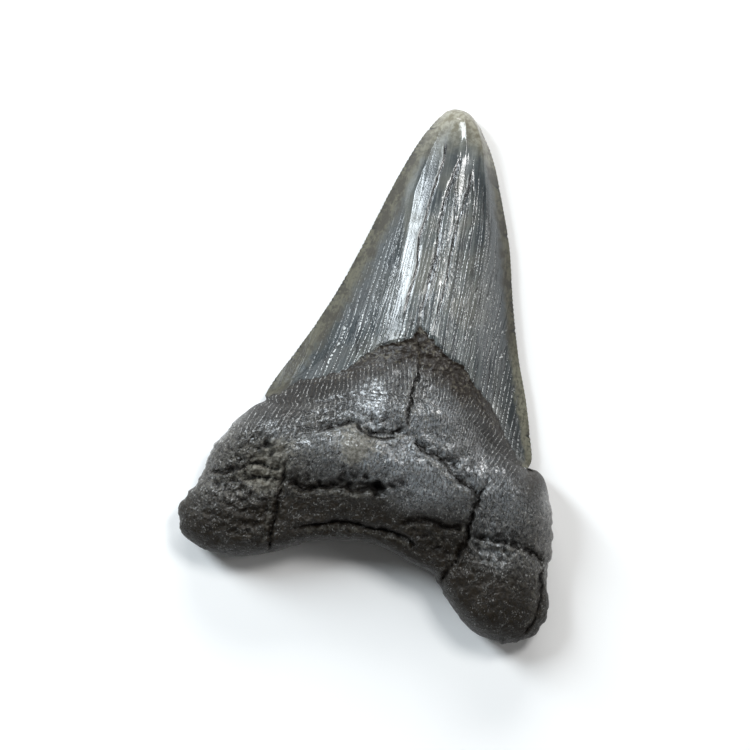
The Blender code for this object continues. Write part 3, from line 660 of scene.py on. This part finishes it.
class Shader:
    """Short names for the nodes that a material is made of. Lengths in it are millimetres."""

    def __init__(self, name):
        self.material = bpy.data.materials.new(name)
        self.material.use_nodes = True
        self.tree = self.material.node_tree
        self.surface = self.tree.nodes["Principled BSDF"].inputs
        place = self.node("TexCoord", {}).outputs["Object"]
        self.place = self.node("VectorMath", {0: place, "Scale": 1.0 / MM}, operation="SCALE").outputs[0]

    def node(self, kind, inputs, **settings):
        """A node with its settings made and its inputs fed, by name or by number."""
        node = self.tree.nodes.new("ShaderNode" + kind)
        for name, value in settings.items():
            setattr(node, name, value)
        for key, value in inputs.items():
            self.feed(node.inputs[key], value)
        return node

    def feed(self, socket, value):
        if isinstance(value, bpy.types.NodeSocket):
            self.tree.links.new(value, socket)
        else:
            socket.default_value = value

    def attribute(self, name):
        return self.node("Attribute", {}, attribute_name=name).outputs["Fac"]

    def math(self, operation, *values):
        return self.node("Math", dict(enumerate(values)), operation=operation).outputs[0]

    def add(self, *values):
        total = values[0]
        for value in values[1:]:
            total = self.math("ADD", total, value)
        return total

    def times(self, *values):
        total = values[0]
        for value in values[1:]:
            total = self.math("MULTIPLY", total, value)
        return total

    def larger(self, first, second):
        return self.math("MAXIMUM", first, second)

    def size(self, value):
        return self.math("ABSOLUTE", value)

    def wave(self, phase):
        """The size of a sine: 0 on each line of a row of lines, 1 between two of them."""
        return self.size(self.math("SINE", phase))

    def line(self, value, start, slope):
        """A straight line: start where the value is 0, and slope more where it is 1."""
        return self.add(start, self.times(value, slope))

    def swing(self, noise, reach):
        """Noise made to swing about 0."""
        return self.times(self.add(noise, -0.5), reach)

    def ramp(self, value, low, high, start=0.0, end=1.0):
        """Start below low, end above high, and smooth between them. low may be above high."""
        if low > high:
            low, high, start, end = high, low, end, start
        inputs = dict(enumerate((value, low, high, start, end)))
        return self.node("MapRange", inputs, interpolation_type="SMOOTHSTEP").outputs[0]

    def vector(self, x, y):
        return self.node("CombineXYZ", {0: x, 1: y}).outputs[0]

    def noise(self, vector, per_mm, detail, roughness):
        inputs = {"Vector": vector, "Scale": per_mm, "Detail": detail, "Roughness": roughness}
        return self.node("TexNoise", inputs).outputs[0]

    def dots(self, vector, per_mm, **settings):
        """The distance to the nearest of many scattered dots, in cells."""
        inputs = {"Vector": vector, "Scale": per_mm}
        return self.node("TexVoronoi", inputs, **settings).outputs["Distance"]

    def cell_edges(self, vector):
        """The distance to the edge of the nearest cell of an irregular flat pattern."""
        return self.dots(vector, 1.0, voronoi_dimensions="2D", feature="DISTANCE_TO_EDGE")

    def mix(self, share, first, second):
        """A mixed colour. The colour sockets of the node are 6 and 7 in, and 2 out."""
        return self.node("Mix", {0: share, 6: first, 7: second}, data_type="RGBA").outputs[2]

    def blend(self, share, first, second):
        return self.node("Mix", {0: share, 2: first, 3: second}, data_type="FLOAT").outputs[0]


class Fossil(Shader):
    """The shader with what its parts share: what the mesh keeps of each place, and noises."""

    def __init__(self):
        super().__init__("fossil")
        self.rim, self.edge = self.attribute("rim_mm"), self.attribute("edge_mm")
        self.across, self.up = self.attribute("across_mm"), self.attribute("along_mm")
        self.to_break = self.attribute("break_mm")
        self.polish = self.attribute("polish")
        self.wrinkled = self.times(self.attribute("wrinkled"), self.line(self.polish, 1.0, -0.4))
        self.fine = self.noise(self.place, 1.6, 5.0, 0.6)
        self.grit = self.noise(self.place, 2.6, 1.0, 0.5)
        self.knobs = self.noise(self.place, 1.3, 2.0, 0.45)
        self.broad = self.noise(self.place, 0.13, 3.0, 0.5)
        self.middle = self.noise(self.place, 0.45, 4.0, 0.6)
        self.shake = self.noise(self.place, 0.9, 3.0, 0.6)
        self.streak = self.flow_noise(0.9, 0.06, 4.0, 0.6)
        foot = self.add(self.attribute("foot_mm"), self.swing(self.middle, 2.4), self.swing(self.fine, 1.2))
        self.enamel = self.ramp(self.add(self.rim, self.swing(self.fine, 0.9)), -0.08, 0.12)
        self.root = self.ramp(foot, 0.7, -0.7)

    def flow_noise(self, across_per_mm, up_per_mm, detail, roughness, shift=0.0):
        """Noise that follows the growth lines."""
        x = self.times(self.across, across_per_mm)
        if shift:
            x = self.add(x, shift)
        return self.noise(self.vector(x, self.times(self.up, up_per_mm)), 1.0, detail, roughness)


SLATE = (0.107, 0.120, 0.117, 1)
SLATE_DARK = (0.040, 0.048, 0.052, 1)
SLATE_WARM = (0.130, 0.129, 0.108, 1)
EDGE_OLIVE = (0.104, 0.098, 0.068, 1)
EDGE_PALE = (0.190, 0.185, 0.135, 1)
EDGE_BROWN = (0.044, 0.039, 0.028, 1)
EDGE_SLATE = (0.024, 0.031, 0.035, 1)
TIP_PALE = (0.300, 0.290, 0.232, 1)
TIP_BROWN = (0.185, 0.170, 0.122, 1)
# dark fill of cracks and notches, and painted shade beside the bead rows and between the root's folds
DARK_LINE_AND_PAINTED_SHADE = (0.012, 0.012, 0.012, 1)
# painted glints, on the bead rows and on the crests beside the crown's cracks
PAINTED_GLINT_PALE = (0.680, 0.700, 0.690, 1)
BAND_BROWN = (0.012, 0.008, 0.005, 1)
BAND_PALE = (0.085, 0.076, 0.058, 1)
STONE_DARK = (0.015, 0.013, 0.011, 1)
STONE = (0.092, 0.086, 0.074, 1)
# the polished bone's paler blue, partly its own colour and partly painted sheen
BLUE_STONE_AND_PAINTED_SHEEN = (0.203, 0.220, 0.232, 1)
ROOT_BROWN = (0.012, 0.008, 0.0035, 1)
CRACK_BLACK = (0.004, 0.003, 0.002, 1)
# painted glints, on specks and beside creases
PAINTED_GLINT_GREY = (0.260, 0.255, 0.240, 1)
GLINT = (0.420, 0.420, 0.410, 1)
# painted glints on the backs of the root's folds
PAINTED_FOLD_GLINT = (0.370, 0.370, 0.360, 1)
# the lips of breaks: pale dust with painted light on the lower block's edge
DUST_TAN_AND_PAINTED_LIGHT = (0.115, 0.108, 0.088, 1)
MUD_PALE = (0.215, 0.205, 0.175, 1)
MUD_BROWN = (0.062, 0.054, 0.038, 1)

BONE_IOR = 1.33
COAT_IOR = 1.55
COAT_ROUGHNESS = 0.13
BAND_COAT = 0.15  # of the band between the enamel and the root, which is dull
BAND_ROUGHNESS = 0.5


def enamel_lines(s):
    """What runs down the enamel, each as a share: dark cracks, their grooves, bead rows with painted glints
    and shadows, and long cracks with painted highlights on their crests.
    """
    bend = s.times(s.ramp(s.across, 1.0, 9.0), s.ramp(s.up, 66.0, 34.0), 4.0)
    from_facet = s.size(s.add(s.across, -FACET_ACROSS, s.times(s.add(s.up, -FACET_UP), FACET_LEAN)))
    between_cracks = s.times(s.ramp(s.across, -4.8, -4.1), s.ramp(s.across, -1.1, -1.7), 0.85)
    clear = s.times(s.larger(s.ramp(from_facet, 2.1, 1.3), between_cracks), s.ramp(s.up, *FACET_RISE))
    deep = s.times(s.line(clear, 1.0, -0.85), s.ramp(s.edge, 1.5, 4.0, 0.3, 1.0))

    # growth cracks, long ones and shorter ones between them
    waver = s.add(s.across, bend, s.swing(s.shake, 0.55))
    long_cell = s.cell_edges(s.vector(s.times(waver, 0.62), s.times(s.up, 0.026)))
    short_cell = s.cell_edges(s.vector(s.times(waver, 1.15), s.times(s.up, 0.050)))
    below_tip, below_top = s.ramp(s.up, 79.0, 70.0), s.ramp(s.up, 70.0, 48.0)
    strong = s.ramp(s.middle, 0.36, 0.56)
    long_line = s.times(s.ramp(long_cell, 0.06, 0.015), below_tip, s.line(strong, 0.35, 0.65))
    short_line = s.times(s.ramp(short_cell, 0.10, 0.02), below_top, s.ramp(s.shake, 0.35, 0.6))
    long_groove = s.times(s.ramp(long_cell, 0.12, 0.0), below_tip, s.line(strong, 0.25, 0.75))
    short_groove = s.times(s.ramp(short_cell, 0.19, 0.0), below_top, s.ramp(s.shake, 0.3, 0.6))

    # rows of beads beside the finest cracks, raised a little and painted pale as glints, each with a dark
    # line of
    #     # painted shadow beside it
    sway = s.flow_noise(0.5, 0.05, 2.0, 0.5)
    row_at = s.times(s.add(s.across, bend, s.swing(sway, 2.2), s.swing(s.shake, 0.25)), 3.8)
    beads = s.flow_noise(1.9, 2.7, 1.0, 0.5)
    present = s.ramp(s.flow_noise(0.75, 0.04, 2.0, 0.5), 0.36, 0.50)
    on_rows = s.times(s.ramp(s.up, 74.0, 58.0), s.ramp(s.edge, 0.8, 2.4), deep)

    crack, crest = long_cracks(s)
    return SimpleNamespace(
        clear=clear,
        dark=s.times(s.larger(long_line, s.times(short_line, 0.8)), deep),
        groove=s.times(s.larger(long_groove, s.times(short_groove, 0.7)), deep),
        # row: raised beads painted pale as glints; row_shadow: the painted shadow beside each row
        row=s.times(s.ramp(s.wave(row_at), 0.38, 0.10), s.ramp(beads, 0.46, 0.58), present, on_rows),
        row_shadow=s.times(s.ramp(s.wave(s.add(row_at, 0.55)), 0.36, 0.08), present, on_rows),
        crack=crack,
        crest=crest,
    )


def long_cracks(s):
    """The crown's three long cracks, and the crest on the right of each, raised and painted pale as a
    highlight.
    """
    crack, crest = 0.0, 0.0
    for name, (wide_line, crest_from) in CRACK_LINES.items():
        away = s.add(s.attribute(name + "_line_mm"), s.swing(s.shake, 0.30), s.swing(s.fine, 0.20))
        share = s.attribute(name + "_line_share")
        half_width = s.ramp(s.add(s.middle, s.swing(s.fine, 0.8)), 0.34, 0.62, THIN_LINE, wide_line)
        inside = s.ramp(s.add(s.size(away), s.times(half_width, -1.0)), 0.05, -0.05)
        crack = s.larger(crack, s.times(inside, share))
        on_crest = s.ramp(s.size(s.add(away, CREST_AWAY)), 0.17, 0.02)
        below_tip = s.ramp(s.attribute(name + "_line_along"), 0.02, 0.14)
        # where the crest's painted highlight shows
        worn = s.ramp(s.shake, crest_from, crest_from + 0.14)
        crest = s.larger(crest, s.times(on_crest, share, below_tip, worn))
    return crack, crest


def root_folds(s):
    """The wrinkles where the root starts: their relief, the painted shade between them and painted glints
    on their backs.
    """
    fan = s.times(s.ramp(s.across, 2.0, 12.0, 0.0, -0.60), s.add(s.up, -38.0, s.times(s.across, 0.25)))
    lean = s.times(s.ramp(s.across, -19.0, -6.0, 0.0, 0.25), s.add(s.up, -36.0))
    wobble = s.add(s.swing(s.middle, 0.8), s.swing(s.shake, 0.25))
    from_fold = s.wave(s.times(s.add(s.across, fan, lean, wobble), 5.4))
    unbroken = s.ramp(s.flow_noise(1.3, 0.45, 2.0, 0.5), 0.42, 0.54)
    beads = s.ramp(s.flow_noise(1.9, 3.0, 1.0, 0.5), 0.44, 0.58, 0.05, 1.0)
    return SimpleNamespace(
        # relief: the folds' bumps; between: painted shade; back: painted glints
        relief=s.times(s.ramp(from_fold, 0.55, 0.10), s.wrinkled),
        between=s.times(s.ramp(from_fold, 0.35, 0.7), s.wrinkled, 0.7),
        back=s.times(s.ramp(from_fold, 0.36, 0.12), s.ramp(s.wrinkled, 0.10, 0.35), unbroken, beads),
    )


def root_marks(s):
    """What marks the root, each as a share: how low it is, its creases, specks, glints, mud and cracks. The
    specks, glints and the pale beside creases are painted glints, the pinpricks and the brown beside cracks
    painted shade, and the lips pale dust with painted light.
    """
    wandering = s.flow_noise(0.62, 0.50, 4.0, 0.62)
    second = s.flow_noise(0.9, 0.8, 3.0, 0.6, shift=7.0)
    second_crease = s.ramp(s.size(s.add(second, -0.5)), 0.022, 0.004)
    # a thin painted highlight beside each crease
    painted_highlight_by_crease = s.times(s.ramp(wandering, 0.508, 0.520), s.ramp(wandering, 0.545, 0.528))
    lowness = s.ramp(s.add(s.up, s.swing(s.broad, 12.0), s.times(s.polish, 7.0)), 17.0, 8.0)
    glint_at = s.flow_noise(4.6, 2.6, 1.0, 0.5)
    glint_strength = s.add(0.6, s.times(s.polish, 0.4), s.times(lowness, -0.3))
    ragged_break = s.add(s.to_break, s.swing(s.fine, 0.8), s.swing(s.shake, 0.9))
    ragged_lip = s.add(s.attribute("lip"), s.swing(s.fine, 3.0))
    ragged_mud = s.add(s.attribute("mud"), s.swing(s.fine, 1.4), s.swing(s.middle, 1.2))
    pale = s.line(lowness, 0.5, -0.25)
    return SimpleNamespace(
        lowness=lowness,
        brushed=s.flow_noise(4.2, 1.1, 3.0, 0.6),
        crease=s.larger(s.ramp(s.size(s.add(wandering, -0.5)), 0.030, 0.004), s.times(second_crease, 0.8)),
        # a painted highlight beside creases, and specks raised a little and painted pale as glints
        painted_highlight_by_crease=s.times(painted_highlight_by_crease, s.ramp(s.shake, 0.42, 0.55), pale),
        painted_glint_speck=s.times(s.ramp(s.dots(s.place, 1.7), 0.24, 0.10), s.ramp(s.shake, 0.47, 0.56)),
        glint=s.times(s.ramp(glint_at, 0.60, 0.68), s.ramp(s.shake, 0.44, 0.58), glint_strength),
        # dark specks of painted shade for tiny pits, fewer where polished
        painted_pit_shade=s.times(s.ramp(glint_at, 0.46, 0.34), s.line(s.polish, 0.6, -0.35)),
        # the lip below a break: pale dust with painted light on it
        lip=s.times(s.ramp(ragged_lip, 0.55, 1.3), pale),
        mud=s.ramp(ragged_mud, 0.25, 0.95),
        crack=s.ramp(ragged_break, 0.26, 0.04),
        # a broad brown band of painted shade beside each crack
        painted_shade_by_crack=s.times(s.ramp(ragged_break, 0.60, 0.15), 0.5),
        under_rim=s.times(s.ramp(s.rim, -5.5, -1.0), s.line(s.polish, 1.0, -0.6)),
    )


def enamel_edges(s, clear):
    """The strip along the cutting edges, and the darker enamel inside it, each as a share."""
    uneven_edge = s.add(s.edge, s.swing(s.middle, 2.6))
    below_tip = s.ramp(s.up, 78.0, 72.0)
    inner = s.times(s.ramp(uneven_edge, 7.5, 3.0), below_tip, s.line(clear, 1.0, -0.8))
    return SimpleNamespace(strip=s.ramp(uneven_edge, 2.2, 1.0), inner=inner)


def enamel_colour(s, lines, edges):
    slate = s.mix(s.ramp(s.streak, 0.38, 0.60), SLATE_DARK, SLATE)
    slate = s.mix(s.times(s.ramp(s.broad, 0.42, 0.62), 0.6), slate, SLATE_WARM)
    slate = s.mix(s.times(edges.inner, 0.8), slate, EDGE_SLATE)

    # along the cutting edges, palest low on the right
    mottled = s.ramp(s.add(s.middle, s.swing(s.fine, 0.7)), 0.40, 0.62)
    strip = s.mix(s.times(mottled, s.ramp(s.up, 20.0, 60.0, 0.5, 1.0)), EDGE_BROWN, EDGE_OLIVE)
    low_right = s.times(s.ramp(s.across, 2.0, 6.0), s.ramp(s.up, 52.0, 44.0))
    strip = s.mix(s.times(low_right, s.ramp(s.fine, 0.36, 0.60, 0.3, 1.0)), strip, EDGE_PALE)
    slate = s.mix(s.times(edges.strip, 0.9), slate, strip)

    tip_share = s.ramp(s.add(s.up, s.swing(s.middle, 8.0)), 75.0, 84.0)
    tip_colour = s.mix(s.ramp(s.fine, 0.40, 0.62), TIP_BROWN, TIP_PALE)
    slate = s.mix(s.times(tip_share, 0.85), slate, tip_colour)
    # dark cracks, the painted shadow beside each bead row, and the long cracks' dark fill
    for share in (s.times(lines.dark, 0.8), s.times(lines.row_shadow, 0.8), s.times(lines.crack, 0.95)):
        slate = s.mix(share, slate, DARK_LINE_AND_PAINTED_SHADE)
    # painted glints on the bead rows and painted highlights on the cracks' crests
    slate = s.mix(s.larger(s.times(lines.row, 0.9), s.times(lines.crest, 0.42)), slate, PAINTED_GLINT_PALE)
    return s.mix(s.ramp(s.attribute("notch"), 0.08, 0.30, 0.0, 0.9), slate, DARK_LINE_AND_PAINTED_SHADE)


def root_colour(s, marks):
    stone = s.mix(s.ramp(s.fine, 0.36, 0.60), STONE_DARK, STONE)
    # the polished bone's paler blue, partly painted sheen
    stone = s.mix(s.times(s.polish, s.ramp(marks.brushed, 0.38, 0.58, 0.15, 1.0)), stone, BLUE_STONE_AND_PAINTED_SHEEN)
    mud_colour = s.mix(s.ramp(s.fine, 0.34, 0.66), MUD_BROWN, MUD_PALE)
    pit_share = s.times(s.ramp(s.attribute("pit"), 0.15, 0.6), 0.85)
    # over the stone: brown low down, painted glints beside creases and on specks, dark creases, painted
    # shade on pinpricks, glints, dusty lips with painted light, mud, painted shade beside cracks, dark
    # cracks and pits, and the brown under the rim
    for share, over in (
        (s.times(marks.lowness, 0.92), ROOT_BROWN),
        (marks.painted_highlight_by_crease, PAINTED_GLINT_GREY),
        (s.times(marks.crease, 0.75), CRACK_BLACK),
        (s.times(marks.painted_glint_speck, 0.45), PAINTED_GLINT_GREY),
        (marks.painted_pit_shade, STONE_DARK),
        (marks.glint, GLINT),
        (marks.lip, DUST_TAN_AND_PAINTED_LIGHT),
        (s.times(marks.mud, 0.85), mud_colour),
        (marks.painted_shade_by_crack, ROOT_BROWN),
        (marks.crack, CRACK_BLACK),
        (pit_share, CRACK_BLACK),
        (s.times(marks.under_rim, 0.95), BAND_BROWN),
    ):
        stone = s.mix(share, stone, over)
    return stone


def gloss(s, edges, folds, marks):
    """The glassy coat of the enamel and of the polished bone, and how rough what is under it is."""
    satin = s.add(0.34, s.times(s.polish, 0.66), s.times(marks.mud, -0.35), s.times(marks.lowness, -0.29))
    satin = s.times(satin, s.ramp(marks.crack, 0.9, 0.1), s.line(marks.under_rim, 1.0, -0.9))
    satin = s.add(satin, s.times(folds.back, 0.5))
    glassy = s.add(0.9, s.times(edges.strip, -0.4), s.times(edges.inner, -0.3))
    glassy = s.times(glassy, s.ramp(s.rim, 1.0, 8.0, 0.30, 1.0))
    coat = s.blend(s.enamel, s.blend(s.root, BAND_COAT, satin), glassy)

    enamel_rough = s.add(0.22, s.times(s.ramp(s.fine, 0.4, 0.7), 0.12), s.times(edges.strip, 0.25))
    root_rough = s.add(0.24, s.times(s.ramp(s.fine, 0.35, 0.65), 0.12), s.times(marks.mud, 0.3),
                       s.times(marks.lowness, 0.2), s.times(marks.under_rim, 0.30))
    return coat, s.blend(s.enamel, s.blend(s.root, BAND_ROUGHNESS, root_rough), enamel_rough)


def relief(s, lines, folds, marks):
    """The fine relief, in millimetres."""
    smooth = s.line(lines.clear, 1.0, -0.9)
    enamel_height = s.add(
        s.times(lines.groove, -0.06), s.times(s.grit, smooth, 0.010), s.times(s.streak, smooth, 0.010),
        s.times(lines.row, 0.04), s.times(lines.row_shadow, -0.04), s.times(lines.crest, 0.08),
    )
    broken_up = s.larger(s.attribute("rough"), s.ramp(s.to_break, 2.2, 0.4))
    unwrinkled = s.line(s.wrinkled, 1.0, -0.85)
    unpolished = s.times(s.line(s.polish, 1.0, -0.75), unwrinkled)
    hammered = s.times(unwrinkled, s.line(s.polish, 0.16, -0.07))
    root_height = s.add(
        s.times(s.knobs, s.add(hammered, s.times(broken_up, 0.35))), s.times(s.grit, unpolished, 0.045),
        s.times(marks.brushed, unwrinkled, 0.022), s.times(marks.painted_glint_speck, 0.04),
        s.times(marks.crease, -0.09), s.times(marks.crack, -0.15), s.times(marks.glint, 0.02),
    )
    band_height = s.add(s.times(s.knobs, 0.28), s.times(s.grit, 0.03))
    below = s.add(s.blend(s.root, band_height, root_height), s.times(folds.relief, 0.05))
    return s.blend(s.enamel, below, enamel_height)


def fossil_material():
    s = Fossil()
    lines, folds, marks = enamel_lines(s), root_folds(s), root_marks(s)
    edges = enamel_edges(s, lines.clear)

    band = s.mix(s.ramp(s.fine, 0.50, 0.66), BAND_BROWN, BAND_PALE)
    colour = s.mix(s.root, band, root_colour(s, marks))
    # painted shade between the folds and painted glints on their backs
    colour = s.mix(folds.between, colour, DARK_LINE_AND_PAINTED_SHADE)
    colour = s.mix(s.times(folds.back, 0.9), colour, PAINTED_FOLD_GLINT)
    s.feed(s.surface["Base Color"], s.mix(s.enamel, colour, enamel_colour(s, lines, edges)))

    coat, roughness = gloss(s, edges, folds, marks)
    s.feed(s.surface["Roughness"], roughness)
    s.feed(s.surface["Coat Weight"], coat)
    s.feed(s.surface["IOR"], BONE_IOR)
    s.feed(s.surface["Coat IOR"], COAT_IOR)
    s.feed(s.surface["Coat Roughness"], COAT_ROUGHNESS)

    bump = s.node("Bump", {"Distance": MM, "Height": relief(s, lines, folds, marks)}).outputs[0]
    s.feed(s.surface["Normal"], bump)
    s.feed(s.surface["Coat Normal"], bump)
    return s.material


# --- The studio ----------------------------------------------------------------------------------------

PHOTO_TURN = math.radians(15.0)  # of the picture's up direction, from the tooth's own length
AIM = Vector((-5.7, -4.1, 4.0)) * MM
PICTURE_WIDTH = 117.2 * MM
CAMERA_DISTANCE = 0.50
SENSOR_WIDTH = 36.0
LIGHT_DISTANCE = 0.55
WORLD_STRENGTH = 0.10
FLOOR_SIZE = 3.0
FLOOR_COLOUR = (0.93, 0.93, 0.92, 1)
FLOOR_ROUGHNESS = 0.9
RIGHT = Vector((math.cos(PHOTO_TURN), math.sin(PHOTO_TURN), 0.0))
UP = Vector((-math.sin(PHOTO_TURN), math.cos(PHOTO_TURN), 0.0))
HIGH = Vector((0.0, 0.0, 1.0))


def floor():
    bpy.ops.mesh.primitive_plane_add(size=FLOOR_SIZE)
    plane = bpy.context.object
    plane.name = "floor"
    material = bpy.data.materials.new("floor")
    material.use_nodes = True
    surface = material.node_tree.nodes["Principled BSDF"].inputs
    surface["Base Color"].default_value = FLOOR_COLOUR
    surface["Roughness"].default_value = FLOOR_ROUGHNESS
    plane.data.materials.append(material)


def softbox(name, direction, size, power, colour=(1.0, 1.0, 1.0)):
    light = bpy.data.lights.new(name, "AREA")
    light.shape = "RECTANGLE"
    light.size, light.size_y = size
    light.energy = power
    light.color = colour
    box = bpy.data.objects.new(name, light)
    bpy.context.scene.collection.objects.link(box)
    box.location = AIM + direction.normalized() * LIGHT_DISTANCE
    box.rotation_euler = (-direction).to_track_quat("-Z", "Y").to_euler()


def camera():
    lens = bpy.data.cameras.new("camera")
    lens.sensor_width = SENSOR_WIDTH
    lens.lens = SENSOR_WIDTH * CAMERA_DISTANCE / PICTURE_WIDTH
    eye = bpy.data.objects.new("camera", lens)
    bpy.context.scene.collection.objects.link(eye)
    eye.location = AIM + HIGH * CAMERA_DISTANCE
    eye.rotation_euler = (0.0, 0.0, PHOTO_TURN)
    bpy.context.scene.camera = eye


def studio():
    world = bpy.data.worlds.new("studio")
    world.use_nodes = True
    background = world.node_tree.nodes["Background"].inputs
    background["Color"].default_value = (1.0, 1.0, 1.0, 1)
    background["Strength"].default_value = WORLD_STRENGTH
    bpy.context.scene.world = world
    bpy.context.scene.view_settings.view_transform = "Standard"
    softbox("left", HIGH * 0.62 - RIGHT * 0.61 + UP * 0.50, (0.13, 0.34), 3.1, (0.86, 0.94, 1.0))
    softbox("key", HIGH * 0.87 + RIGHT * 0.30 + UP * 0.38, (0.11, 0.13), 1.2)
    softbox("top", HIGH * 0.45 + RIGHT * 0.05 + UP * 0.89, (0.34, 0.12), 1.8)
    softbox("right", HIGH * 0.60 + RIGHT * 0.75 + UP * 0.10, (0.12, 0.30), 0.4)


tooth = build_tooth()
tooth.data.materials.append(fossil_material())
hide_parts("tooth")
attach(tooth, "root")
floor()
camera()
studio()
